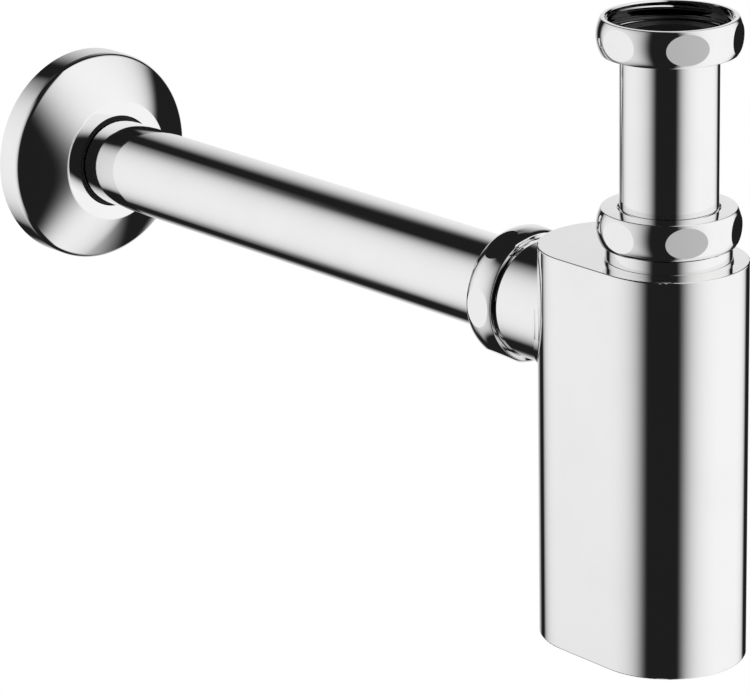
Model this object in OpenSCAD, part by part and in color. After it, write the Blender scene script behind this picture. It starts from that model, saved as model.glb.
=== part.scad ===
// Designer bottle trap for a wash basin, chrome-plated brass.
// +Z points up, the wall stands at +Y and the front of the trap faces -Y.
// The origin lies on the inlet axis, at the inner end of the basin nut's thread.

/* [Casing] */
// Width of the casing across its two flat sides
casing_w = 52; // [50:1:64]
// Length of the casing over its two round ends
casing_l = 76; // [66:1:110]
// Height of the casing
casing_h = 135; // [128:1:180]
// Thickness of the drawn casing's wall and top
casing_wall = 1.5; // [1:0.1:2]
// Rounding of the casing's top and bottom edges
casing_edge_r = 0.5; // [0.2:0.1:0.9]

/* [Tubes] */
// Outside diameter of both tubes
tube_d = 32; // [30:0.5:34]
// Wall thickness of both tubes
tube_wall = 1; // [0.8:0.1:1.5]
// Height from the casing's top to the underside of the basin nut
inlet_rise = 68; // [40:1:120]
// Depth that the inlet tube dips below the casing's top
dip_depth = 101; // [90:1:104]
// Thickness of the collar at the inlet tube's top
collar_t = 1.5; // [1:0.1:2.5]
// Distance from the inlet axis to the wall
wall_reach = 316; // [180:1:450]
// Length of outlet tube that stands in the wall's socket
wall_insertion = 25; // [15:1:60]
// Distance from the casing's round end to the outlet tube's inner end
outlet_entry = 1; // [0:0.5:6]

/* [Outlet] */
// Depth of the outlet axis below the casing's top
outlet_drop = 27; // [25:1:50]

/* [Necks] */
// Length of the inlet neck's plain shank
inlet_shank = 5.4; // [3:0.1:20]
// Length of the outlet neck's plain shank
outlet_shank = 11.2; // [8:0.1:30]
// Length of the threaded end of a neck
neck_thread_l = 6.6; // [6:0.1:7]
// Wall left round a neck's mouth
neck_wall = 1.4; // [1:0.1:2.5]
// Chamfer at a neck's threaded end
neck_chamfer = 0.45; // [0.2:0.05:0.6]
// Step between a neck's plain shank and its thread
neck_step = 0.4; // [0.2:0.1:0.8]
// Length of the lip by which a neck passes through the casing's wall
neck_lip_l = 3.5; // [2.5:0.1:6]
// Wall of that lip
neck_lip_wall = 1.7; // [1:0.1:2.5]
// Width of the ledge that stops the outlet tube
stop_ledge = 2; // [1:0.1:3]
// Thickness of that ledge
stop_t = 2; // [1:0.1:3]

/* [Coupling nuts] */
// Height of a coupling nut
nut_h = 11.8; // [11.2:0.1:16]
// Wall of a nut from its thread to the crown of its bulge
nut_wall = 3.2; // [2.8:0.1:5]
// Radius of the bulged side of a nut
nut_bulge_r = 12.3; // [10:0.1:30]
// Depth of the six wrench flats below the crown
nut_flat_depth = 1.05; // [0.4:0.05:1.2]
// Rounding of a nut's face edges
nut_edge_r = 0.4; // [0.2:0.1:0.6]
// Thickness of the lip that closes one end of a nut
nut_lip_t = 2.2; // [1.5:0.1:3]
// Undercut behind a nut's thread
nut_relief = 0.3; // [0.1:0.1:0.6]
// Chamfer at the mouth of a nut's thread
nut_mouth_chamfer = 0.4; // [0.2:0.1:0.8]

/* [Seals and washer] */
// Thickness of a cone seal at a neck's mouth
seal_section = 2.3; // [1.8:0.1:4]
// Depth that a cone seal reaches into its neck
seal_depth = 5; // [3:0.1:6]
// Thickness of a cone seal at its tip
seal_tip = 0.55; // [0.3:0.05:1.2]
// Height of a cone seal's head above its neck
seal_head_h = 1.8; // [1:0.1:2]
// Thickness of the slip ring between a nut and its seal
slip_ring_t = 1.2; // [0.8:0.1:1.4]
// Thickness of the flat washer under the basin's waste
washer_t = 2; // [1.5:0.1:3]
// Width of that washer's face inwards of the tube's bore
washer_inset = 1.5; // [0.5:0.1:3]

/* [Rosette] */
// Diameter of the wall rosette
rosette_d = 79; // [70:1:110]
// Depth of the rosette from the wall to its flat ring
rosette_depth = 20; // [14:0.5:30]
// Height at which the rosette's cone would meet its rim
rosette_rim_h = 10.1; // [8:0.1:13]
// Rounding between the rosette's rim and its cone
rosette_round = 1.5; // [1.3:0.1:3]
// Width of the flat ring round the rosette's hole
rosette_ring_w = 5.5; // [3:0.5:9]
// Sheet thickness of the rosette
rosette_t = 1.2; // [0.8:0.1:1.2]
// Length of the collar turned in round the hole
rosette_collar_l = 6; // [4:0.5:10]
// Length of the soft ring that grips the tube
grip_l = 5.4; // [3:0.1:9]

/* [Base and cleaning plug] */
// Thickness of the base plate
base_t = 5; // [4.5:0.1:8]
// Height that the base plate sits up inside the casing's rim
base_recess = 0.5; // [0.2:0.1:2]
// Height of the threaded boss above the base plate
boss_h = 5.5; // [3:0.5:8]
// Wall of the threaded boss
boss_wall = 4; // [2:0.5:5]
// Diameter of the cleaning plug's thread
plug_thread_d = 35.6; // [30:0.2:37]
// Width of the plug head's rim outside its thread
plug_rim_w = 3.2; // [3:0.1:3.6]
// Thickness of the plug's head
plug_head_t = 2.8; // [2.6:0.1:3.5]
// Length of the plug's threaded part above its head
plug_thread_l = 7; // [5:0.1:10]
// Width of the slot for turning the plug
slot_w = 3.2; // [2:0.1:5]
// Length of that slot
slot_l = 26; // [16:1:32]
// Depth of that slot
slot_depth = 1.6; // [1:0.1:2]
// Wall left round the hollow in the plug
plug_cup_wall = 3; // [2:0.5:6]
// Thickness of the sealing ring's round section
ring_section = 2.2; // [1.8:0.1:2.4]

/* [Fits] */
// Play of a tube in a neck's bore
tube_play = 0.3; // [0.2:0.05:0.5]
// Play between a sliding tube and the rubber round it
rubber_play = 0.05; // [0.02:0.01:0.1]
// Play between a thread and its nut
thread_play = 0.1; // [0.05:0.01:0.1]
// Gap of a brazed or pushed-in joint
joint_gap = 0.1; // [0.05:0.01:0.2]
// Gap between pieces that a nut draws together
seat_gap = 0.3; // [0.1:0.05:0.4]
// Gap between the basin washer and the thread above it
washer_gap = 0.2; // [0.1:0.05:0.4]
// Play of the collar and its washer inside the basin nut's thread
collar_play = 1.6; // [1:0.1:2.5]
// Play of the tube in a nut's lip
lip_play = 0.7; // [0.4:0.05:1]
// Play of the tube in the rosette's hole
rosette_play = 1; // [0.8:0.05:2]

/* [Hidden] */

$fn = 96;
over = 1;

chrome = [0.86, 0.87, 0.88];
rubber = [0.10, 0.10, 0.11];
nylon = [0.92, 0.91, 0.87];

tube_r = tube_d / 2;
tube_bore_r = tube_r - tube_wall;
neck_bore_r = tube_r + tube_play;
mouth_r = neck_bore_r + seal_section + joint_gap;
mouth_tip_r = neck_bore_r + seal_tip + joint_gap;
thread_r = mouth_r + neck_wall;
neck_r = thread_r + neck_step;
neck_lip_r = neck_bore_r + neck_lip_wall;

nut_bore_r = thread_r + thread_play;
nut_r = nut_bore_r + nut_wall;
nut_flat_r = nut_r - nut_flat_depth;
nut_hole_r = tube_r + lip_play;
nut_sides = 6;

casing_r = casing_w / 2;
casing_inner_r = casing_r - casing_wall;
casing_span = casing_l - casing_w;

collar_r = nut_bore_r - collar_play;
washer_top = -washer_gap;
collar_top = washer_top - washer_t;
collar_bottom = collar_top - collar_t;
basin_nut_bottom = collar_bottom - nut_lip_t;
casing_top = basin_nut_bottom - inlet_rise;
casing_bottom = casing_top - casing_h;
outlet_z = casing_top - outlet_drop;
outlet_y = casing_span + casing_r;

inlet_tube_bottom = casing_top - dip_depth;
outlet_tube_start = outlet_y + outlet_entry;
outlet_tube_end = wall_reach + wall_insertion;

base_bottom = casing_bottom + base_recess;
base_top = base_bottom + base_t;
plug_y = casing_span / 2;
plug_thread_r = plug_thread_d / 2;
plug_hole_r = plug_thread_r + thread_play;
plug_head_r = plug_thread_r + plug_rim_w;
counterbore_r = plug_head_r + seat_gap;
counterbore_h = plug_head_t + seat_gap;
plug_head_top = base_bottom + plug_head_t;
ring_r = ring_section / 2;
ring_mid_r = plug_thread_r + plug_rim_w / 2;
groove_play = joint_gap / 2;

rosette_r = rosette_d / 2;
rosette_hole_r = tube_r + rosette_play;
rosette_ring_r = rosette_hole_r + rosette_ring_w;
rosette_slope = atan((rosette_depth - rosette_rim_h) / (rosette_r - rosette_ring_r));
rosette_tangent = rosette_round * tan((90 - rosette_slope) / 2);
grip_flange = rosette_t;

// Flat outline with two round ends, one of them centred on the inlet axis
module stadium(r, span) {
    circle(r);
    translate([-r, 0]) square([2 * r, span]);
    translate([0, span]) circle(r);
}

// Right-hand side of an upright block with rounded edges, standing on y = 0
module rounded_side(r, h, edge) {
    square([r - edge, h]);
    translate([0, edge]) square([r, h - 2 * edge]);
    for (y = [edge, h - edge]) translate([r - edge, y]) circle(edge);
}

// Block with a stadium outline and rounded top and bottom edges
module rounded_stadium(r, span, h, edge) {
    rotate([0, 0, 180]) rotate_extrude(angle = 180) rounded_side(r, h, edge);
    translate([0, span, 0]) rotate_extrude(angle = 180) rounded_side(r, h, edge);
    translate([0, span, 0]) rotate([90, 0, 0]) linear_extrude(span) {
        rounded_side(r, h, edge);
        mirror([1, 0]) rounded_side(r, h, edge);
    }
}

// Places what stands upright on the casing's top
module at_inlet() {
    translate([0, 0, casing_top]) children();
}

// Turns what stands upright to point at the wall from the casing's round end
module at_outlet() {
    translate([0, outlet_y, outlet_z]) rotate([-90, 0, 0]) children();
}

// Turned brass neck: lip, plain shank, threaded end and conical mouth
module neck(shank, lip_l) {
    tip = shank + neck_thread_l;
    rotate_extrude() polygon([
        [neck_bore_r, -lip_l],
        [neck_lip_r, -lip_l],
        [neck_lip_r, 0],
        [neck_r, 0],
        [neck_r, shank - neck_step],
        [thread_r, shank],
        [thread_r, tip - neck_chamfer],
        [thread_r - neck_chamfer, tip],
        [mouth_r, tip],
        [mouth_tip_r, tip - seal_depth - joint_gap],
        [neck_bore_r, tip - seal_depth - joint_gap]
    ]);
}

// Rubber cone seal, seated on the end of a neck
module cone_seal(shank) {
    tip = shank + neck_thread_l;
    seal_bore_r = tube_r + rubber_play;
    rotate_extrude() polygon([
        [seal_bore_r, tip - seal_depth],
        [neck_bore_r + seal_tip, tip - seal_depth],
        [mouth_r - joint_gap, tip],
        [thread_r - neck_chamfer, tip],
        [thread_r - neck_chamfer, tip + seal_head_h],
        [seal_bore_r, tip + seal_head_h]
    ]);
}

// Flat slip ring that lies on a cone seal's head
module slip_ring(shank) {
    bottom = shank + neck_thread_l + seal_head_h;
    translate([0, 0, bottom]) difference() {
        cylinder(h = slip_ring_t, r = thread_r - neck_chamfer);
        translate([0, 0, -over]) cylinder(h = slip_ring_t + 2 * over, r = neck_bore_r);
    }
}

// Height of a coupling nut's open face above the foot of its neck
function nut_foot(shank) =
    shank + neck_thread_l + seal_head_h + slip_ring_t + seat_gap + nut_lip_t - nut_h;

// Section of a nut's bulged body, with its edges rounded, from z = 0 to nut_h
module nut_section() {
    mid = nut_h / 2;
    bulge_x = nut_r - nut_bulge_r;
    edge_z = mid - nut_edge_r;
    edge_x = bulge_x + sqrt(pow(nut_bulge_r - nut_edge_r, 2) - pow(edge_z, 2));
    meet_z = nut_bulge_r * edge_z / (nut_bulge_r - nut_edge_r);
    square([edge_x, nut_h]);
    for (s = [-1, 1]) translate([edge_x, mid + s * edge_z]) circle(nut_edge_r);
    intersection() {
        translate([bulge_x, mid]) circle(nut_bulge_r);
        translate([0, mid - meet_z]) square([nut_r, 2 * meet_z]);
    }
}

// Coupling nut with a bulged side, wrench flats and an inner lip at its foot.
// The thread starts above an undercut, where the part's origin lies in the basin nut.
module coupling_nut() {
    thread_foot = nut_lip_t + collar_t + washer_t + washer_gap;
    relief_r = nut_bore_r + nut_relief;
    intersection() {
        rotate_extrude() difference() {
            nut_section();
            polygon([
                [-over, -over],
                [nut_hole_r, -over],
                [nut_hole_r, nut_lip_t],
                [relief_r, nut_lip_t],
                [relief_r, thread_foot - nut_relief],
                [nut_bore_r, thread_foot],
                [nut_bore_r, nut_h - nut_mouth_chamfer],
                [nut_bore_r + nut_mouth_chamfer + over, nut_h + over],
                [-over, nut_h + over]
            ]);
        }
        rotate([0, 0, 180 / nut_sides]) translate([0, 0, -over])
            cylinder(h = nut_h + 2 * over, r = nut_flat_r / cos(180 / nut_sides), $fn = nut_sides);
    }
}

// Nut turned over, with its lip up, over a neck
module nut_on_neck(shank) {
    translate([0, 0, nut_foot(shank) + nut_h]) mirror([0, 0, 1]) coupling_nut();
}

// Drawn shell with a closed top and an open foot
module trap_body() {
    color(chrome) difference() {
        translate([0, 0, casing_bottom])
            rounded_stadium(casing_r, casing_span, casing_h, casing_edge_r);
        translate([0, 0, casing_bottom - over])
            linear_extrude(casing_h - casing_wall + over) stadium(casing_inner_r, casing_span);
        at_inlet() translate([0, 0, -neck_lip_l]) cylinder(h = 2 * neck_lip_l, r = neck_lip_r + joint_gap);
        at_outlet() translate([0, 0, -casing_r])
            cylinder(h = casing_r + over, r = neck_lip_r + joint_gap);
    }
}

// Plate that closes the casing's foot, with a threaded boss and a sunk seat for the plug
module base_plate() {
    color(chrome) difference() {
        union() {
            translate([0, 0, base_bottom])
                linear_extrude(base_t) stadium(casing_inner_r - joint_gap, casing_span);
            translate([0, plug_y, base_top]) cylinder(h = boss_h, r = plug_hole_r + boss_wall);
        }
        translate([0, plug_y, base_bottom - over]) {
            cylinder(h = base_t + boss_h + 2 * over, r = plug_hole_r);
            cylinder(h = counterbore_h + over, r = counterbore_r);
        }
    }
}

// Inlet neck, brazed into the casing's top
module inlet_neck() {
    color(chrome) at_inlet() neck(inlet_shank, neck_lip_l);
}

// Outlet neck, saddled on the casing's round end, with a ledge that stops the tube
module outlet_neck() {
    ledge_z = -casing_wall - neck_lip_l;
    color(chrome) difference() {
        union() {
            difference() {
                at_outlet() union() {
                    neck(outlet_shank, neck_lip_l);
                    translate([0, 0, -casing_r / 2]) difference() {
                        cylinder(h = casing_r / 2 + over, r = neck_r);
                        translate([0, 0, -over]) cylinder(h = casing_r, r = neck_bore_r);
                    }
                }
                translate([0, casing_span, casing_bottom])
                    cylinder(h = casing_h, r = casing_r + joint_gap);
            }
            at_outlet() translate([0, 0, ledge_z]) difference() {
                cylinder(h = -ledge_z + over, r = neck_lip_r);
                translate([0, 0, stop_t]) cylinder(h = -ledge_z + over, r = neck_bore_r);
            }
        }
        at_outlet() translate([0, 0, ledge_z - over])
            cylinder(h = stop_t + 2 * over, r = neck_bore_r - stop_ledge);
    }
}

// Seal round the inlet tube
module inlet_seal() {
    color(rubber) at_inlet() cone_seal(inlet_shank);
}

// Seal round the outlet tube
module outlet_seal() {
    color(rubber) at_outlet() cone_seal(outlet_shank);
}

// Slip ring of the inlet nut
module inlet_slip_ring() {
    color(nylon) at_inlet() slip_ring(inlet_shank);
}

// Slip ring of the outlet nut
module outlet_slip_ring() {
    color(nylon) at_outlet() slip_ring(outlet_shank);
}

// Nut that tightens the seal round the inlet tube
module inlet_nut() {
    color(chrome) at_inlet() nut_on_neck(inlet_shank);
}

// Nut that tightens the seal round the outlet tube
module outlet_nut() {
    color(chrome) at_outlet() nut_on_neck(outlet_shank);
}

// Inlet tube with a turned-out collar, dipping into the water in the casing
module inlet_tube() {
    color(chrome) rotate_extrude() polygon([
        [tube_bore_r, inlet_tube_bottom],
        [tube_r, inlet_tube_bottom],
        [tube_r, collar_bottom],
        [collar_r, collar_bottom],
        [collar_r, collar_top],
        [tube_bore_r, collar_top]
    ]);
}

// Flat rubber washer on the inlet tube's collar
module basin_washer() {
    color(rubber) translate([0, 0, collar_top]) difference() {
        cylinder(h = washer_t, r = collar_r);
        translate([0, 0, -over]) cylinder(h = washer_t + 2 * over, r = tube_bore_r - washer_inset);
    }
}

// Nut that hangs on the collar and screws to the basin's waste
module basin_nut() {
    color(chrome) translate([0, 0, basin_nut_bottom]) coupling_nut();
}

// Straight tube from the outlet neck into the wall
module outlet_tube() {
    color(chrome) translate([0, outlet_tube_start, outlet_z]) rotate([-90, 0, 0]) difference() {
        cylinder(h = outlet_tube_end - outlet_tube_start, r = tube_r);
        translate([0, 0, -over])
            cylinder(h = outlet_tube_end - outlet_tube_start + 2 * over, r = tube_bore_r);
    }
}

// Section of the rosette's pressed sheet taken inwards by a wall thickness.
// x is the radius and y the height above the wall.
module rosette_section(inset) {
    r = rosette_r - inset;
    round_r = rosette_round - inset;
    cone_drop = inset * tan((90 - rosette_slope) / 2);
    straight = rosette_rim_h - rosette_tangent;
    square([rosette_ring_r - cone_drop, rosette_depth - inset]);
    square([r - round_r, straight]);
    square([r, straight]);
    intersection() {
        translate([r - round_r, straight]) circle(round_r);
        square([r, rosette_depth]);
    }
    polygon([
        [rosette_ring_r - cone_drop, 0],
        [r - round_r, 0],
        [r - round_r, straight],
        [r - round_r + round_r * sin(rosette_slope), straight + round_r * cos(rosette_slope)],
        [rosette_ring_r - cone_drop, rosette_depth - inset]
    ]);
}

// Pressed rosette that hides the hole in the wall
module rosette() {
    color(chrome) translate([0, wall_reach, outlet_z]) rotate([90, 0, 0]) rotate_extrude() {
        difference() {
            rosette_section(0);
            difference() {
                rosette_section(rosette_t);
                translate([rosette_hole_r, rosette_depth - rosette_collar_l])
                    square([rosette_t, rosette_collar_l]);
            }
            translate([-over, -over]) square([rosette_hole_r + over, rosette_depth + 2 * over]);
        }
    }
}

// Soft ring in the rosette's hole that grips the tube
module rosette_grip_ring() {
    grip_r = rosette_hole_r - groove_play;
    grip_foot = rosette_depth - rosette_collar_l - grip_flange;
    color(rubber) translate([0, wall_reach, outlet_z]) rotate([90, 0, 0]) rotate_extrude() polygon([
        [tube_r + rubber_play, grip_foot],
        [grip_r + rosette_t, grip_foot],
        [grip_r + rosette_t, grip_foot + grip_flange],
        [grip_r, grip_foot + grip_flange],
        [grip_r, grip_foot + grip_flange + grip_l],
        [tube_r + rubber_play, grip_foot + grip_flange + grip_l]
    ]);
}

// Screwed plug that closes the cleaning hole, with a slot across its head
module cleaning_plug() {
    cup_r = plug_thread_r - plug_cup_wall;
    color(chrome) translate([0, plug_y, base_bottom]) difference() {
        union() {
            cylinder(h = plug_head_t, r = plug_head_r);
            cylinder(h = plug_head_t + plug_thread_l, r = plug_thread_r);
        }
        translate([0, 0, plug_head_t + over]) cylinder(h = plug_thread_l, r = cup_r);
        translate([0, 0, plug_head_t - ring_section + groove_play]) difference() {
            cylinder(h = ring_section, r = ring_mid_r + ring_r + groove_play);
            cylinder(h = ring_section, r = ring_mid_r - ring_r - groove_play);
        }
        translate([-slot_l / 2, -slot_w / 2, -over]) cube([slot_l, slot_w, slot_depth + over]);
    }
}

// Rubber ring that seals the plug's head against the base plate
module plug_seal() {
    ring_z = plug_head_top + seat_gap - ring_r - groove_play;
    color(rubber) translate([0, plug_y, ring_z])
        rotate_extrude() translate([ring_mid_r, 0]) circle(ring_r);
}

trap_body();
base_plate();
inlet_neck();
outlet_neck();
inlet_seal();
outlet_seal();
inlet_slip_ring();
outlet_slip_ring();
inlet_nut();
outlet_nut();
inlet_tube();
basin_washer();
basin_nut();
outlet_tube();
rosette();
rosette_grip_ring();
cleaning_plug();
plug_seal();
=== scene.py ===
import math

import bmesh
import bpy
from mathutils import Matrix, Vector


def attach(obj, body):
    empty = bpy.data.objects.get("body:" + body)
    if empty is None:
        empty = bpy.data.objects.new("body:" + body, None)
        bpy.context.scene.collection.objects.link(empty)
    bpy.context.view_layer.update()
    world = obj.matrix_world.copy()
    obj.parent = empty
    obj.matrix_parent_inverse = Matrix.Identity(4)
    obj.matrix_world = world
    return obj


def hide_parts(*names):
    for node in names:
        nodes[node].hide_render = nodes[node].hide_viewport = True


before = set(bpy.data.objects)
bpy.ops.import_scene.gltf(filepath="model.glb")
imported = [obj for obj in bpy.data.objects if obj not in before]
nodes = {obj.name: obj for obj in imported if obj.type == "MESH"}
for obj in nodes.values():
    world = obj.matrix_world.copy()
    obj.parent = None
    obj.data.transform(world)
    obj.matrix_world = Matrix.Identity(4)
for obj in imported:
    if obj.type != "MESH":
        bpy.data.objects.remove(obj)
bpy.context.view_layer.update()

# Camera: a long lens 1.2 m off the trap, a little above it and to the left of its
# outlet, aimed so that nut, casing and rosette lie as in the photograph.
camera_place = Vector((-0.846052, -0.860924, 0.298706))
camera_turn, camera_dip, camera_roll = -40.008, 18.413, -1.177
camera_data = bpy.data.cameras.new("long_lens")
camera_data.sensor_fit = "HORIZONTAL"
camera_data.sensor_width = 36.0
camera_data.lens = 189.03
camera_data.clip_start = 0.05
camera_data.clip_end = 60.0
camera = bpy.data.objects.new("camera", camera_data)
bpy.context.scene.collection.objects.link(camera)
camera.matrix_world = (
    Matrix.Translation(camera_place)
    @ Matrix.Rotation(math.radians(camera_turn), 4, "Z")
    @ Matrix.Rotation(math.radians(90.0 - camera_dip), 4, "X")
    @ Matrix.Rotation(math.radians(camera_roll), 4, "Z")
)
bpy.context.scene.camera = camera
bpy.context.scene.view_settings.view_transform = "Standard"

# Room: plain white light from all round, a little softer on the object than the
# white that the camera, the plating and glass see.
room_light_level, room_white_level = 0.9, 1.0
room = bpy.data.worlds.new("white_room")
bpy.context.scene.world = room
room.use_nodes = True
room_nodes, room_links = room.node_tree.nodes, room.node_tree.links
room_nodes.clear()
room_out = room_nodes.new("ShaderNodeOutputWorld")
room_light = room_nodes.new("ShaderNodeBackground")
room_light.inputs["Color"].default_value = (1.0, 1.0, 1.0, 1.0)
room_light.inputs["Strength"].default_value = room_light_level
room_white = room_nodes.new("ShaderNodeBackground")
room_white.inputs["Color"].default_value = (1.0, 1.0, 1.0, 1.0)
room_white.inputs["Strength"].default_value = room_white_level
room_path = room_nodes.new("ShaderNodeLightPath")
room_seen = room_nodes.new("ShaderNodeMath")
room_seen.operation = "MAXIMUM"
room_links.new(room_path.outputs["Is Camera Ray"], room_seen.inputs[0])
room_links.new(room_path.outputs["Is Glossy Ray"], room_seen.inputs[1])
room_any = room_nodes.new("ShaderNodeMath")
room_any.operation = "MAXIMUM"
room_links.new(room_seen.outputs[0], room_any.inputs[0])
room_links.new(room_path.outputs["Is Transmission Ray"], room_any.inputs[1])
room_mix = room_nodes.new("ShaderNodeMixShader")
room_links.new(room_any.outputs[0], room_mix.inputs[0])
room_links.new(room_light.outputs[0], room_mix.inputs[1])
room_links.new(room_white.outputs[0], room_mix.inputs[2])
room_links.new(room_mix.outputs[0], room_out.inputs["Surface"])

# Floor: a wide pale floor under the hanging trap, which stands on nothing and is
# held by the basin above and the wall behind.
floor_height, floor_reach = -1.3, 6.0
bpy.ops.object.select_all(action="DESELECT")
bpy.ops.mesh.primitive_circle_add(
    vertices=96, radius=floor_reach, fill_type="NGON", location=(0.0, 0.1, floor_height)
)
floor = bpy.context.object
floor.name = "floor"
floor_paint = bpy.data.materials.new("white_floor")
floor_paint.use_nodes = True
floor_shader = floor_paint.node_tree.nodes["Principled BSDF"]
floor_shader.inputs["Base Color"].default_value = (1.0, 1.0, 1.0, 1.0)
floor_shader.inputs["Roughness"].default_value = 1.0
floor_shader.inputs["Specular IOR Level"].default_value = 0.0
floor_shader.inputs["Emission Color"].default_value = (1.0, 1.0, 1.0, 1.0)
floor_shader.inputs["Emission Strength"].default_value = 0.1
floor.data.materials.append(floor_paint)

# Light dome: white cloth all round the trap, with black cards hung inside it that
# give polished chrome its dark bands. Only the plating mirrors it.
# A card has its first and last turn from the wall side and its first and last rise,
# then the angle before, after, below and above it at which half the white is back.
dome_cards = {
    "beside_camera": (-151, -113, -89, 86, 16, 19, 36, 39),
    "at_wall": (0, 11, -90, 90, 6, 10, 38, 40),
    "at_right": (67, 87, -47, 86, 3, 6, 13, 17),
    "over_trap": (-110, 91, 57, 90, 1, 10, 12, 36),
    "under_trap": (-133, 44, -78, -57, 3, 28, 36, 8),
    "over_wall": (-9, 30, 42, 48, 14, 16, 9, 1),
    "under_wall": (-8, 14, -79, -44, 13, 15, 26, 9),
}
dome_white, dome_black, dome_lift = 1.0, 0.014, 1.1
dome_middle, dome_reach = Vector((0.0, 0.1, -0.1)), 1.1


def past_card(angle, half_angle):
    angle = max(angle, 0.0)
    return angle * angle / (angle * angle + half_angle * half_angle)


def dome_tone(turn, rise):
    cloth = dome_lift
    for first, last, low, high, before, after, below, above in dome_cards.values():
        beside = 0.0
        if (turn - first) % 360.0 > last - first:
            beside = min(
                past_card((first - turn) % 360.0, before), past_card((turn - last) % 360.0, after)
            )
        over = max(past_card(low - rise, below), past_card(rise - high, above))
        cloth *= 1.0 - (1.0 - beside) * (1.0 - over)
    return dome_black + (dome_white - dome_black) * min(cloth, 1.0)


bpy.ops.object.select_all(action="DESELECT")
bpy.ops.mesh.primitive_uv_sphere_add(
    segments=240, ring_count=120, radius=dome_reach, location=dome_middle
)
dome = bpy.context.object
dome.name = "light_dome"
bpy.ops.object.transform_apply(location=True, rotation=True, scale=True)
dome_shade = dome.data.attributes.new("tone", "FLOAT", "POINT")
for vertex in dome.data.vertices:
    away = vertex.co - dome_middle
    turn = math.degrees(math.atan2(away.x, away.y))
    rise = math.degrees(math.asin(max(-1.0, min(1.0, away.z / dome_reach))))
    dome_shade.data[vertex.index].value = dome_tone(turn, rise)
dome_cloth = bpy.data.materials.new("dome_cloth")
dome_cloth.use_nodes = True
dome_nodes, dome_links = dome_cloth.node_tree.nodes, dome_cloth.node_tree.links
dome_nodes.clear()
dome_glow = dome_nodes.new("ShaderNodeEmission")
dome_out = dome_nodes.new("ShaderNodeOutputMaterial")
dome_read = dome_nodes.new("ShaderNodeAttribute")
dome_read.attribute_name = "tone"
dome_links.new(dome_read.outputs["Fac"], dome_glow.inputs["Strength"])
dome_links.new(dome_glow.outputs[0], dome_out.inputs["Surface"])
dome.data.materials.append(dome_cloth)
dome.visible_camera = False
dome.visible_diffuse = False
dome.visible_shadow = False

# Casing: a drawn brass shell with a closed top and round ends, polished upright on
# a belt and chrome plated. Both necks are soldered to it and the base closes it.
plating = bpy.data.node_groups.new("polished_plating", "ShaderNodeTree")
for socket_name, socket_type in (
    ("Place", "NodeSocketVector"),
    ("Line Place", "NodeSocketVector"),
    ("Plate Colour", "NodeSocketColor"),
    ("Smudge Colour", "NodeSocketColor"),
    ("Gloss Low", "NodeSocketFloat"),
    ("Gloss High", "NodeSocketFloat"),
    ("Smudge Size", "NodeSocketFloat"),
    ("Line Size", "NodeSocketFloat"),
    ("Line Share", "NodeSocketFloat"),
):
    plating.interface.new_socket(socket_name, in_out="INPUT", socket_type=socket_type)
for socket_name, socket_type in (
    ("Colour", "NodeSocketColor"),
    ("Roughness", "NodeSocketFloat"),
    ("Height", "NodeSocketFloat"),
):
    plating.interface.new_socket(socket_name, in_out="OUTPUT", socket_type=socket_type)
plating_in = plating.nodes.new("NodeGroupInput")
plating_out = plating.nodes.new("NodeGroupOutput")
smudges = plating.nodes.new("ShaderNodeTexNoise")
smudges.inputs["Detail"].default_value = 4.0
smudges.inputs["Roughness"].default_value = 0.55
plating.links.new(plating_in.outputs["Place"], smudges.inputs["Vector"])
plating.links.new(plating_in.outputs["Smudge Size"], smudges.inputs["Scale"])
smudge_mask = plating.nodes.new("ShaderNodeMapRange")
smudge_mask.inputs["From Min"].default_value = 0.45
smudge_mask.inputs["From Max"].default_value = 0.75
plating.links.new(smudges.outputs["Fac"], smudge_mask.inputs["Value"])
smudge_mix = plating.nodes.new("ShaderNodeMix")
smudge_mix.data_type = "RGBA"
plating.links.new(smudge_mask.outputs["Result"], smudge_mix.inputs["Factor"])
plating.links.new(plating_in.outputs["Plate Colour"], smudge_mix.inputs[6])
plating.links.new(plating_in.outputs["Smudge Colour"], smudge_mix.inputs[7])
plating.links.new(smudge_mix.outputs[2], plating_out.inputs["Colour"])
polish_lines = plating.nodes.new("ShaderNodeTexNoise")
polish_lines.inputs["Detail"].default_value = 3.0
plating.links.new(plating_in.outputs["Line Place"], polish_lines.inputs["Vector"])
plating.links.new(plating_in.outputs["Line Size"], polish_lines.inputs["Scale"])
line_weight = plating.nodes.new("ShaderNodeMath")
line_weight.operation = "MULTIPLY"
plating.links.new(polish_lines.outputs["Fac"], line_weight.inputs[0])
plating.links.new(plating_in.outputs["Line Share"], line_weight.inputs[1])
gloss_mask = plating.nodes.new("ShaderNodeMath")
gloss_mask.operation = "ADD"
gloss_mask.use_clamp = True
plating.links.new(smudge_mask.outputs["Result"], gloss_mask.inputs[0])
plating.links.new(line_weight.outputs[0], gloss_mask.inputs[1])
gloss_range = plating.nodes.new("ShaderNodeMapRange")
plating.links.new(gloss_mask.outputs[0], gloss_range.inputs["Value"])
plating.links.new(plating_in.outputs["Gloss Low"], gloss_range.inputs["To Min"])
plating.links.new(plating_in.outputs["Gloss High"], gloss_range.inputs["To Max"])
plating.links.new(gloss_range.outputs["Result"], plating_out.inputs["Roughness"])
peel = plating.nodes.new("ShaderNodeTexNoise")
peel.inputs["Scale"].default_value = 70.0
peel.inputs["Detail"].default_value = 1.0
plating.links.new(plating_in.outputs["Place"], peel.inputs["Vector"])
relief = plating.nodes.new("ShaderNodeMath")
relief.operation = "MULTIPLY_ADD"
relief.inputs[1].default_value = 0.01
plating.links.new(line_weight.outputs[0], relief.inputs[0])
plating.links.new(peel.outputs["Fac"], relief.inputs[2])
plating.links.new(relief.outputs[0], plating_out.inputs["Height"])


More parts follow.
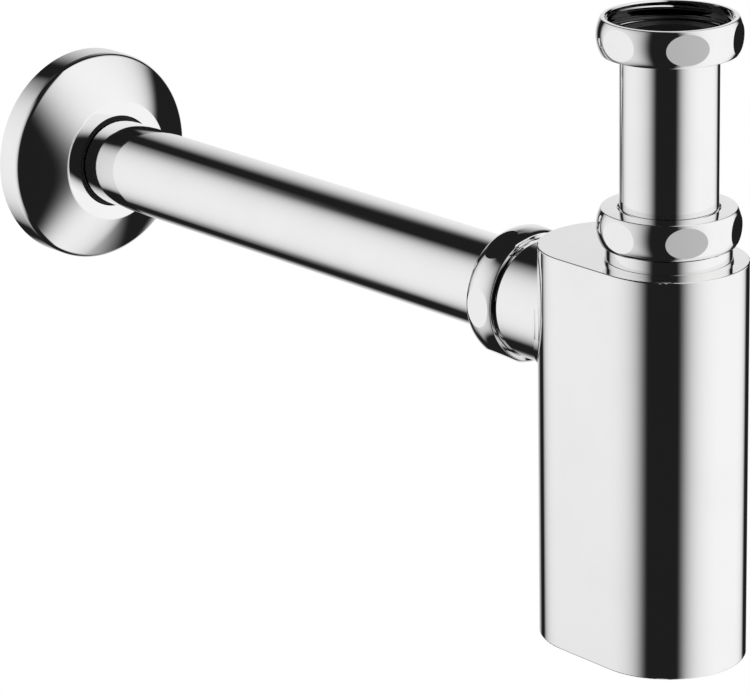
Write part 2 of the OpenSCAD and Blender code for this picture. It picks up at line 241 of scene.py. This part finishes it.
def chrome_finish(name, gloss, smudge_size, line_size, line_share, relief_depth):
    finish = bpy.data.materials.new(name)
    finish.use_nodes = True
    tree, links = finish.node_tree.nodes, finish.node_tree.links
    shader = tree["Principled BSDF"]
    shader.inputs["Metallic"].default_value = 1.0
    place = tree.new("ShaderNodeTexCoord")
    marks = tree.new("ShaderNodeGroup")
    marks.name = "plating_marks"
    marks.node_tree = plating
    marks.inputs["Plate Colour"].default_value = (0.9, 0.9, 0.898, 1.0)
    marks.inputs["Smudge Colour"].default_value = (0.87, 0.87, 0.868, 1.0)
    marks.inputs["Gloss Low"].default_value = gloss[0]
    marks.inputs["Gloss High"].default_value = gloss[1]
    marks.inputs["Smudge Size"].default_value = smudge_size
    marks.inputs["Line Size"].default_value = line_size
    marks.inputs["Line Share"].default_value = line_share
    bump = tree.new("ShaderNodeBump")
    bump.inputs["Strength"].default_value = 1.0
    bump.inputs["Distance"].default_value = relief_depth
    links.new(place.outputs["Object"], marks.inputs["Place"])
    links.new(marks.outputs["Colour"], shader.inputs["Base Color"])
    links.new(marks.outputs["Roughness"], shader.inputs["Roughness"])
    links.new(marks.outputs["Height"], bump.inputs["Height"])
    links.new(bump.outputs["Normal"], shader.inputs["Normal"])
    return finish


casing_chrome = chrome_finish("casing_chrome", (0.025, 0.055), 30.0, 900.0, 0.5, 0.000006)
belt_marks = casing_chrome.node_tree.nodes.new("ShaderNodeMapping")
belt_marks.inputs["Scale"].default_value = (1.0, 1.0, 0.02)
casing_chrome.node_tree.links.new(
    casing_chrome.node_tree.nodes["Texture Coordinate"].outputs["Object"], belt_marks.inputs[0]
)
casing_chrome.node_tree.links.new(
    belt_marks.outputs[0], casing_chrome.node_tree.nodes["plating_marks"].inputs["Line Place"]
)
nodes["trap_body"].material_slots[0].material = casing_chrome

# Necks: brass turnings with a rolled 1 1/4 inch thread and a conical mouth, soldered
# into the casing's top and saddled on its round end, and plated with it.
outlet_height = -0.1009
inlet_axis = Matrix.Translation((0.0, 0.0, -0.0739))
outlet_axis = Matrix.Translation((0.0, 0.05, outlet_height)) @ Matrix.Rotation(-math.pi / 2.0, 4, "X")
inlet_shank, outlet_shank, neck_thread_length = 0.0054, 0.0112, 0.0066
neck_wall_radius, neck_root_radius, neck_tip_radius = 0.0201, 0.0194, 0.01915
union_pitch, union_flank, union_crest = 0.002309, 0.00036, 0.00045


def merged_copy(node_name, piece_name):
    bpy.ops.object.select_all(action="DESELECT")
    piece = bpy.data.objects.new(piece_name, nodes[node_name].data.copy())
    bpy.context.scene.collection.objects.link(piece)
    bpy.context.view_layer.objects.active = piece
    piece.select_set(True)
    bpy.ops.object.mode_set(mode="EDIT")
    bpy.ops.mesh.select_all(action="SELECT")
    bpy.ops.mesh.remove_doubles(threshold=0.000001)
    bpy.ops.object.mode_set(mode="OBJECT")
    bpy.ops.mesh.customdata_custom_splitnormals_clear()
    return piece


def draw_path(name, points):
    bpy.ops.object.select_all(action="DESELECT")
    bpy.ops.mesh.primitive_plane_add(size=0.001, location=(points[0][0], 0.0, points[0][1]))
    path = bpy.context.object
    path.name = name
    bpy.ops.object.mode_set(mode="EDIT")
    bpy.ops.mesh.select_all(action="SELECT")
    bpy.ops.mesh.merge(type="CENTER")
    for (radius_from, height_from), (radius_to, height_to) in zip(points, points[1:]):
        bpy.ops.mesh.extrude_vertices_move(
            TRANSFORM_OT_translate={"value": (radius_to - radius_from, 0.0, height_to - height_from)}
        )
    bpy.ops.object.mode_set(mode="OBJECT")
    bpy.ops.object.transform_apply(location=True, rotation=True, scale=True)
    return path


def open_wall(piece, wall_radius, new_radius):
    bpy.ops.object.mode_set(mode="EDIT")
    shape = bmesh.from_edit_mesh(piece.data)
    wall = [
        face for face in shape.faces
        if all(abs(math.hypot(v.co.x, v.co.y) - wall_radius) < 0.00002 for v in face.verts)
    ]
    rim = {vertex for face in wall for vertex in face.verts}
    bmesh.ops.delete(shape, geom=wall, context="FACES")
    for vertex in rim:
        vertex.co.x *= new_radius / wall_radius
        vertex.co.y *= new_radius / wall_radius
    bmesh.update_edit_mesh(piece.data)
    bpy.ops.object.mode_set(mode="OBJECT")


def cut_thread(piece, low, high, root, crest, pitch, flank, flat, phase):
    start = phase - pitch * math.ceil((phase - low) / pitch + 1.0)
    groove = pitch - 2.0 * flank - flat
    thread = draw_path("thread", [
        (root, start),
        (root, start + groove / 2.0),
        (crest, start + groove / 2.0 + flank),
        (crest, start + groove / 2.0 + flank + flat),
        (root, start + groove / 2.0 + 2.0 * flank + flat),
        (root, start + pitch),
    ])
    winding = thread.modifiers.new("winding", "SCREW")
    winding.axis = "Z"
    winding.angle = math.tau
    winding.screw_offset = pitch
    winding.iterations = math.ceil((high - start) / pitch)
    winding.steps = winding.render_steps = 120
    bpy.ops.object.modifier_apply(modifier=winding.name)
    bpy.ops.object.mode_set(mode="EDIT")
    bpy.ops.mesh.select_all(action="SELECT")
    bpy.ops.mesh.remove_doubles(threshold=0.000001)
    for level, side in ((low, "inner"), (high, "outer")):
        bpy.ops.mesh.select_all(action="SELECT")
        bpy.ops.mesh.bisect(
            plane_co=(0.0, 0.0, level), plane_no=(0.0, 0.0, 1.0), threshold=0.0000001,
            clear_inner=side == "inner", clear_outer=side == "outer",
        )
    bpy.ops.object.mode_set(mode="OBJECT")
    run_out = 0.0006
    for vertex in thread.data.vertices:
        radius = math.hypot(vertex.co.x, vertex.co.y)
        share = min(max(min(vertex.co.z - low, high - vertex.co.z) / run_out, 0.0), 1.0)
        factor = (root + (radius - root) * share) / radius
        vertex.co.x *= factor
        vertex.co.y *= factor
    piece.select_set(True)
    bpy.context.view_layer.objects.active = piece
    bpy.ops.object.join()
    bpy.ops.object.mode_set(mode="EDIT")
    bpy.ops.mesh.select_mode(type="EDGE")
    for level in (low, high):
        bpy.ops.mesh.select_all(action="DESELECT")
        shape = bmesh.from_edit_mesh(piece.data)
        for edge in shape.edges:
            height = (edge.verts[0].co.z + edge.verts[1].co.z) / 2.0
            edge.select_set(edge.is_boundary and abs(height - level) < 0.0004)
        bmesh.update_edit_mesh(piece.data)
        bpy.ops.mesh.bridge_edge_loops()
    bpy.ops.mesh.select_mode(type="VERT")
    bpy.ops.object.mode_set(mode="OBJECT")


def finish_piece(piece, place, finish, smooth_degrees):
    piece.data.transform(place)
    bpy.ops.object.select_all(action="DESELECT")
    piece.select_set(True)
    bpy.context.view_layer.objects.active = piece
    bpy.ops.object.mode_set(mode="EDIT")
    bpy.ops.mesh.select_all(action="SELECT")
    bpy.ops.mesh.remove_doubles(threshold=0.000001)
    bpy.ops.mesh.normals_make_consistent(inside=False)
    bpy.ops.object.mode_set(mode="OBJECT")
    bpy.ops.object.shade_smooth_by_angle(angle=math.radians(smooth_degrees))
    piece.data.materials.clear()
    piece.data.materials.append(finish)


def turned_chrome(name, axis, gloss, line_share):
    finish = chrome_finish(name, gloss, 45.0, 2500.0, line_share, 0.000003)
    tree, links = finish.node_tree.nodes, finish.node_tree.links
    centred = tree.new("ShaderNodeMapping")
    turn_back = axis.inverted()
    centred.inputs["Location"].default_value = turn_back.to_translation()
    centred.inputs["Rotation"].default_value = turn_back.to_euler()
    spread = tree.new("ShaderNodeSeparateXYZ")
    flat_part = tree.new("ShaderNodeVectorMath")
    flat_part.operation = "MULTIPLY"
    flat_part.inputs[1].default_value = (1.0, 1.0, 0.0)
    radius = tree.new("ShaderNodeVectorMath")
    radius.operation = "LENGTH"
    rings = tree.new("ShaderNodeCombineXYZ")
    links.new(tree["Texture Coordinate"].outputs["Object"], centred.inputs[0])
    links.new(centred.outputs[0], spread.inputs[0])
    links.new(centred.outputs[0], flat_part.inputs[0])
    links.new(flat_part.outputs[0], radius.inputs[0])
    links.new(radius.outputs["Value"], rings.inputs["X"])
    links.new(spread.outputs["Z"], rings.inputs["Z"])
    links.new(rings.outputs[0], tree["plating_marks"].inputs["Line Place"])
    return finish


inlet_chrome = turned_chrome("inlet_chrome", inlet_axis, (0.02, 0.045), 0.5)
outlet_chrome = turned_chrome("outlet_chrome", outlet_axis, (0.02, 0.045), 0.5)
for node_name, axis, shank, finish in (
    ("inlet_neck", inlet_axis, inlet_shank, inlet_chrome),
    ("outlet_neck", outlet_axis, outlet_shank, outlet_chrome),
):
    neck = merged_copy(node_name, node_name + "_threaded")
    neck.data.transform(axis.inverted())
    neck_tip = shank + neck_thread_length
    for vertex in neck.data.vertices:
        radius = math.hypot(vertex.co.x, vertex.co.y)
        if vertex.co.z > neck_tip - 0.00001 and radius > 0.0193:
            vertex.co.x *= neck_tip_radius / radius
            vertex.co.y *= neck_tip_radius / radius
    open_wall(neck, neck_wall_radius, neck_root_radius)
    cut_thread(
        neck, shank + 0.0002, neck_tip - 0.00065, neck_root_radius, neck_wall_radius,
        union_pitch, union_flank, union_crest, shank + 0.0062,
    )
    finish_piece(neck, axis, finish, 30.0)
    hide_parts(node_name)
    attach(neck, "trap")

# Solder fillets: the plated-over bead of hard solder in the corner where each neck
# stands on the casing. The outlet's bead follows the casing's round end.
casing_end_radius = 0.026


def rounded_path(corners):
    points = [Vector(corners[0][:2])]
    for before, corner, after in zip(corners, corners[1:], corners[2:]):
        here, rounding = Vector(corner[:2]), corner[2]
        if rounding == 0.0:
            points.append(here)
            continue
        back, ahead = (Vector(before[:2]) - here).normalized(), (Vector(after[:2]) - here).normalized()
        half = back.angle(ahead) / 2.0
        middle = here + (back + ahead).normalized() * rounding / math.sin(half)
        start = (here + back * rounding / math.tan(half)) - middle
        sweep = (math.pi - 2.0 * half) * math.copysign(1.0, start.cross(ahead))
        steps = max(3, math.ceil(abs(sweep) / math.radians(11.0)))
        for step in range(steps + 1):
            angle = sweep * step / steps
            points.append(middle + Vector((
                start.x * math.cos(angle) - start.y * math.sin(angle),
                start.x * math.sin(angle) + start.y * math.cos(angle),
            )))
    points.append(Vector(corners[-1][:2]))
    return [tuple(point) for point in points]


def turn_on_lathe(name, points, steps):
    piece = draw_path(name, points)
    bpy.ops.object.mode_set(mode="EDIT")
    bpy.ops.mesh.select_all(action="SELECT")
    bpy.ops.mesh.spin(steps=steps, angle=math.tau, center=(0.0, 0.0, 0.0), axis=(0.0, 0.0, 1.0))
    bpy.ops.mesh.select_all(action="SELECT")
    bpy.ops.mesh.remove_doubles(threshold=0.000001)
    bpy.ops.mesh.normals_make_consistent(inside=False)
    bpy.ops.object.mode_set(mode="OBJECT")
    return piece


neck_outer_radius, bead_root, bead_sink = 0.0205, 0.0002, 0.00002
for bead_name, axis, bead, finish in (
    ("inlet_solder_bead", inlet_axis, 0.0004, inlet_chrome),
    ("outlet_solder_bead", outlet_axis, 0.0009, outlet_chrome),
):
    solder = turn_on_lathe(bead_name, rounded_path((
        (neck_outer_radius - bead_root, bead, 0.0),
        (neck_outer_radius - bead_sink, bead, 0.0),
        (neck_outer_radius - bead_sink, -bead_sink, bead),
        (neck_outer_radius + bead, -bead_sink, 0.0),
        (neck_outer_radius + bead, -bead_root, 0.0),
        (neck_outer_radius - bead_root, -bead_root, 0.0),
        (neck_outer_radius - bead_root, bead, 0.0),
    )), 160)
    if bead_name.startswith("outlet"):
        for vertex in solder.data.vertices:
            vertex.co.z += math.sqrt(casing_end_radius ** 2 - vertex.co.x ** 2) - casing_end_radius
    finish_piece(solder, axis, finish, 40.0)
    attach(solder, "trap")

# Coupling nuts: three alike, turned from brass with a bulged side, milled with six
# wrench flats, threaded inside and plated. The lip hooks behind a collar or a ring.
nut_half_height, nut_edge = 0.0059, 0.0004
nut_crown_radius, nut_bulge_radius, nut_flat_distance = 0.0234, 0.0123, 0.02235
nut_hole_radius, nut_lip_height, nut_wall_radius, nut_crest_radius = 0.01635, 0.0022, 0.0202, 0.0197
nut_relief_radius, nut_thread_foot, nut_mouth = 0.0205, 0.0, 0.0004
nut_bulge_middle = nut_crown_radius - nut_bulge_radius
nut_edge_height = nut_half_height - nut_edge
nut_edge_place = nut_bulge_middle + math.sqrt(
    (nut_bulge_radius - nut_edge) ** 2 - nut_edge_height ** 2
)
nut_edge_angle = math.atan2(nut_edge_height, nut_edge_place - nut_bulge_middle)
nut_path = [
    (nut_wall_radius, nut_half_height - nut_mouth),
    (nut_wall_radius + nut_mouth, nut_half_height),
]
for step in range(7):
    angle = math.pi / 2.0 + (nut_edge_angle - math.pi / 2.0) * step / 6.0
    nut_path.append((
        nut_edge_place + nut_edge * math.cos(angle), nut_edge_height + nut_edge * math.sin(angle)
    ))
for step in range(1, 24):
    angle = nut_edge_angle * (1.0 - step / 12.0)
    nut_path.append((
        nut_bulge_middle + nut_bulge_radius * math.cos(angle), nut_bulge_radius * math.sin(angle)
    ))
for step in range(7):
    angle = -nut_edge_angle + (nut_edge_angle - math.pi / 2.0) * step / 6.0
    nut_path.append((
        nut_edge_place + nut_edge * math.cos(angle), -nut_edge_height + nut_edge * math.sin(angle)
    ))
nut_path += rounded_path((
    (nut_hole_radius + 0.001, -nut_half_height, 0.0),
    (nut_hole_radius, -nut_half_height, 0.0003),
    (nut_hole_radius, nut_lip_height - nut_half_height, 0.0003),
    (nut_relief_radius, nut_lip_height - nut_half_height, 0.0002),
    (nut_relief_radius, nut_thread_foot - 0.0003, 0.0),
    (nut_wall_radius, nut_thread_foot, 0.0),
))
first_nut = turn_on_lathe("first_nut", nut_path, 192)
cut_thread(
    first_nut, nut_thread_foot + 0.0002, nut_half_height - nut_mouth - 0.0002, nut_wall_radius,
    nut_crest_radius, union_pitch, union_flank, union_crest, 0.0,
)
bpy.ops.object.mode_set(mode="EDIT")
for flat_number in range(6):
    flat_angle = math.radians(60.0 * flat_number)
    flat_normal = Vector((math.cos(flat_angle), math.sin(flat_angle), 0.0))
    bpy.ops.mesh.select_all(action="SELECT")
    bpy.ops.mesh.bisect(
        plane_co=flat_normal * nut_flat_distance, plane_no=flat_normal,
        threshold=0.0000001, use_fill=True, clear_outer=True,
    )
bpy.ops.object.mode_set(mode="OBJECT")
turned_over = Matrix.Rotation(math.pi, 4, "X")
nut_seat = 0.0062
for node_name, place, finish in (
    ("basin_nut", Matrix.Identity(4), inlet_chrome),
    ("inlet_nut", inlet_axis @ Matrix.Translation((0.0, 0.0, inlet_shank + nut_seat)) @ turned_over,
     inlet_chrome),
    ("outlet_nut", outlet_axis @ Matrix.Translation((0.0, 0.0, outlet_shank + nut_seat)) @ turned_over,
     outlet_chrome),
):
    nut = bpy.data.objects.new(node_name + "_threaded", first_nut.data.copy())
    bpy.context.scene.collection.objects.link(nut)
    finish_piece(nut, place, finish, 12.0)
    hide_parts(node_name)
    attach(nut, node_name)
bpy.data.objects.remove(first_nut)

# Inlet tube and outlet tube: drawn brass, 32 mm by 1 mm, polished round and plated.
# They are cut to length and push into the seals, so their ends stay plain.
nodes["inlet_tube"].material_slots[0].material = inlet_chrome
nodes["outlet_tube"].material_slots[0].material = outlet_chrome

# Wall rosette: a brass disc pressed to a cone with a flat ring, a rolled rim and a
# turned-in collar, spun bright and plated. It slides on the tube against the wall.
rosette_face, rosette_wall = 0.296, 0.316
rosette_radius, rosette_ring_radius, rosette_hole_radius = 0.0395, 0.0225, 0.017
rosette_sheet, rosette_rim_height, rosette_collar = 0.0012, 0.0101, 0.006
rosette_depth = rosette_wall - rosette_face
rosette_slope = math.atan2(rosette_depth - rosette_rim_height, rosette_radius - rosette_ring_radius)
rosette_inner_rim = rosette_rim_height - rosette_sheet * math.tan((math.pi / 2.0 - rosette_slope) / 2.0)
rosette_inner_ring = rosette_ring_radius - rosette_sheet * math.tan(rosette_slope / 2.0)
rosette = turn_on_lathe("rosette_pressed", rounded_path((
    (rosette_radius, 0.0, 0.0),
    (rosette_radius, rosette_rim_height, 0.003),
    (rosette_ring_radius, rosette_depth, 0.0018),
    (rosette_hole_radius, rosette_depth, 0.0003),
    (rosette_hole_radius, rosette_depth - rosette_collar, 0.0),
    (rosette_hole_radius + rosette_sheet, rosette_depth - rosette_collar, 0.0),
    (rosette_hole_radius + rosette_sheet, rosette_depth - rosette_sheet, 0.0003),
    (rosette_inner_ring, rosette_depth - rosette_sheet, 0.0012),
    (rosette_radius - rosette_sheet, rosette_inner_rim, 0.0004),
    (rosette_radius - rosette_sheet, 0.0, 0.0),
    (rosette_radius, 0.0, 0.0),
)), 240)
rosette_axis = Matrix.Translation((0.0, rosette_wall, outlet_height)) @ Matrix.Rotation(math.pi / 2.0, 4, "X")
rosette_chrome = turned_chrome("rosette_chrome", rosette_axis, (0.02, 0.045), 0.6)
finish_piece(rosette, rosette_axis, rosette_chrome, 40.0)
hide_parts("rosette")
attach(rosette, "rosette")

# Base plate and cleaning plug: turned and plated brass. The plate is soldered into the
# casing's foot, and the slotted plug screws up into its boss for cleaning.
plug_axis = Matrix.Translation((0.0, 0.012, -0.2084))
plug_chrome = turned_chrome("plug_chrome", plug_axis, (0.03, 0.07), 0.8)
plug_pitch, plug_flank, plug_crest = 0.002, 0.00034, 0.00035
plug_thread_radius, plug_root_radius = 0.0178, 0.01715
plug_thread_foot, plug_thread_tip = 0.0028, 0.0098
plug = merged_copy("cleaning_plug", "cleaning_plug_threaded")
plug.data.transform(plug_axis.inverted())
open_wall(plug, plug_thread_radius, plug_root_radius)
cut_thread(
    plug, plug_thread_foot + 0.0002, plug_thread_tip - 0.0002, plug_root_radius, plug_thread_radius,
    plug_pitch, plug_flank, plug_crest, 0.0,
)
finish_piece(plug, plug_axis, plug_chrome, 30.0)
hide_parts("cleaning_plug")
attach(plug, "cleaning_plug")
boss_hole_radius, boss_crest_radius = 0.0179, 0.01725
counterbore_height, boss_top = 0.0031, 0.0105
base = merged_copy("base_plate", "base_plate_threaded")
base.data.transform(plug_axis.inverted())
open_wall(base, boss_hole_radius, boss_hole_radius)
cut_thread(
    base, counterbore_height + 0.0002, boss_top - 0.0002, boss_hole_radius, boss_crest_radius,
    plug_pitch, plug_flank, plug_crest, plug_pitch / 2.0,
)
finish_piece(base, plug_axis, plug_chrome, 30.0)
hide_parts("base_plate")
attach(base, "trap")

# Rubber: cone seals at both necks, the washer in the basin nut, the plug's
# ring and the ring that grips the wall tube, all moulded and pushed in by hand.
rubber = bpy.data.materials.new("moulded_rubber")
rubber.use_nodes = True
rubber_nodes, rubber_links = rubber.node_tree.nodes, rubber.node_tree.links
rubber_shader = rubber_nodes["Principled BSDF"]
rubber_shader.inputs["Specular IOR Level"].default_value = 0.25
rubber_place = rubber_nodes.new("ShaderNodeTexCoord")
rubber_dust = rubber_nodes.new("ShaderNodeTexNoise")
rubber_dust.inputs["Scale"].default_value = 180.0
rubber_dust.inputs["Detail"].default_value = 5.0
rubber_links.new(rubber_place.outputs["Object"], rubber_dust.inputs["Vector"])
rubber_tone = rubber_nodes.new("ShaderNodeMix")
rubber_tone.data_type = "RGBA"
rubber_tone.inputs[6].default_value = (0.008, 0.008, 0.009, 1.0)
rubber_tone.inputs[7].default_value = (0.02, 0.02, 0.021, 1.0)
rubber_links.new(rubber_dust.outputs["Fac"], rubber_tone.inputs["Factor"])
rubber_links.new(rubber_tone.outputs[2], rubber_shader.inputs["Base Color"])
rubber_gloss = rubber_nodes.new("ShaderNodeMapRange")
rubber_gloss.inputs["To Min"].default_value = 0.45
rubber_gloss.inputs["To Max"].default_value = 0.7
rubber_links.new(rubber_dust.outputs["Fac"], rubber_gloss.inputs["Value"])
rubber_links.new(rubber_gloss.outputs["Result"], rubber_shader.inputs["Roughness"])
rubber_bump = rubber_nodes.new("ShaderNodeBump")
rubber_bump.inputs["Strength"].default_value = 0.6
rubber_bump.inputs["Distance"].default_value = 0.0001
rubber_links.new(rubber_dust.outputs["Fac"], rubber_bump.inputs["Height"])
rubber_links.new(rubber_bump.outputs["Normal"], rubber_shader.inputs["Normal"])
for node_name in ("inlet_seal", "outlet_seal", "basin_washer", "plug_seal", "rosette_grip_ring"):
    nodes[node_name].material_slots[0].material = rubber

# Slip rings: thin moulded nylon washers that let a nut turn on its seal.
nylon = bpy.data.materials.new("moulded_nylon")
nylon.use_nodes = True
nylon_nodes, nylon_links = nylon.node_tree.nodes, nylon.node_tree.links
nylon_shader = nylon_nodes["Principled BSDF"]
nylon_shader.inputs["Subsurface Weight"].default_value = 0.0
nylon_place = nylon_nodes.new("ShaderNodeTexCoord")
nylon_grain = nylon_nodes.new("ShaderNodeTexNoise")
nylon_grain.inputs["Scale"].default_value = 400.0
nylon_grain.inputs["Detail"].default_value = 3.0
nylon_links.new(nylon_place.outputs["Object"], nylon_grain.inputs["Vector"])
nylon_tone = nylon_nodes.new("ShaderNodeMix")
nylon_tone.data_type = "RGBA"
nylon_tone.inputs[6].default_value = (0.72, 0.70, 0.65, 1.0)
nylon_tone.inputs[7].default_value = (0.82, 0.81, 0.77, 1.0)
nylon_links.new(nylon_grain.outputs["Fac"], nylon_tone.inputs["Factor"])
nylon_links.new(nylon_tone.outputs[2], nylon_shader.inputs["Base Color"])
nylon_gloss = nylon_nodes.new("ShaderNodeMapRange")
nylon_gloss.inputs["To Min"].default_value = 0.35
nylon_gloss.inputs["To Max"].default_value = 0.5
nylon_links.new(nylon_grain.outputs["Fac"], nylon_gloss.inputs["Value"])
nylon_links.new(nylon_gloss.outputs["Result"], nylon_shader.inputs["Roughness"])
nylon_bump = nylon_nodes.new("ShaderNodeBump")
nylon_bump.inputs["Strength"].default_value = 0.4
nylon_bump.inputs["Distance"].default_value = 0.00005
nylon_links.new(nylon_grain.outputs["Fac"], nylon_bump.inputs["Height"])
nylon_links.new(nylon_bump.outputs["Normal"], nylon_shader.inputs["Normal"])
for node_name in ("inlet_slip_ring", "outlet_slip_ring"):
    nodes[node_name].material_slots[0].material = nylon
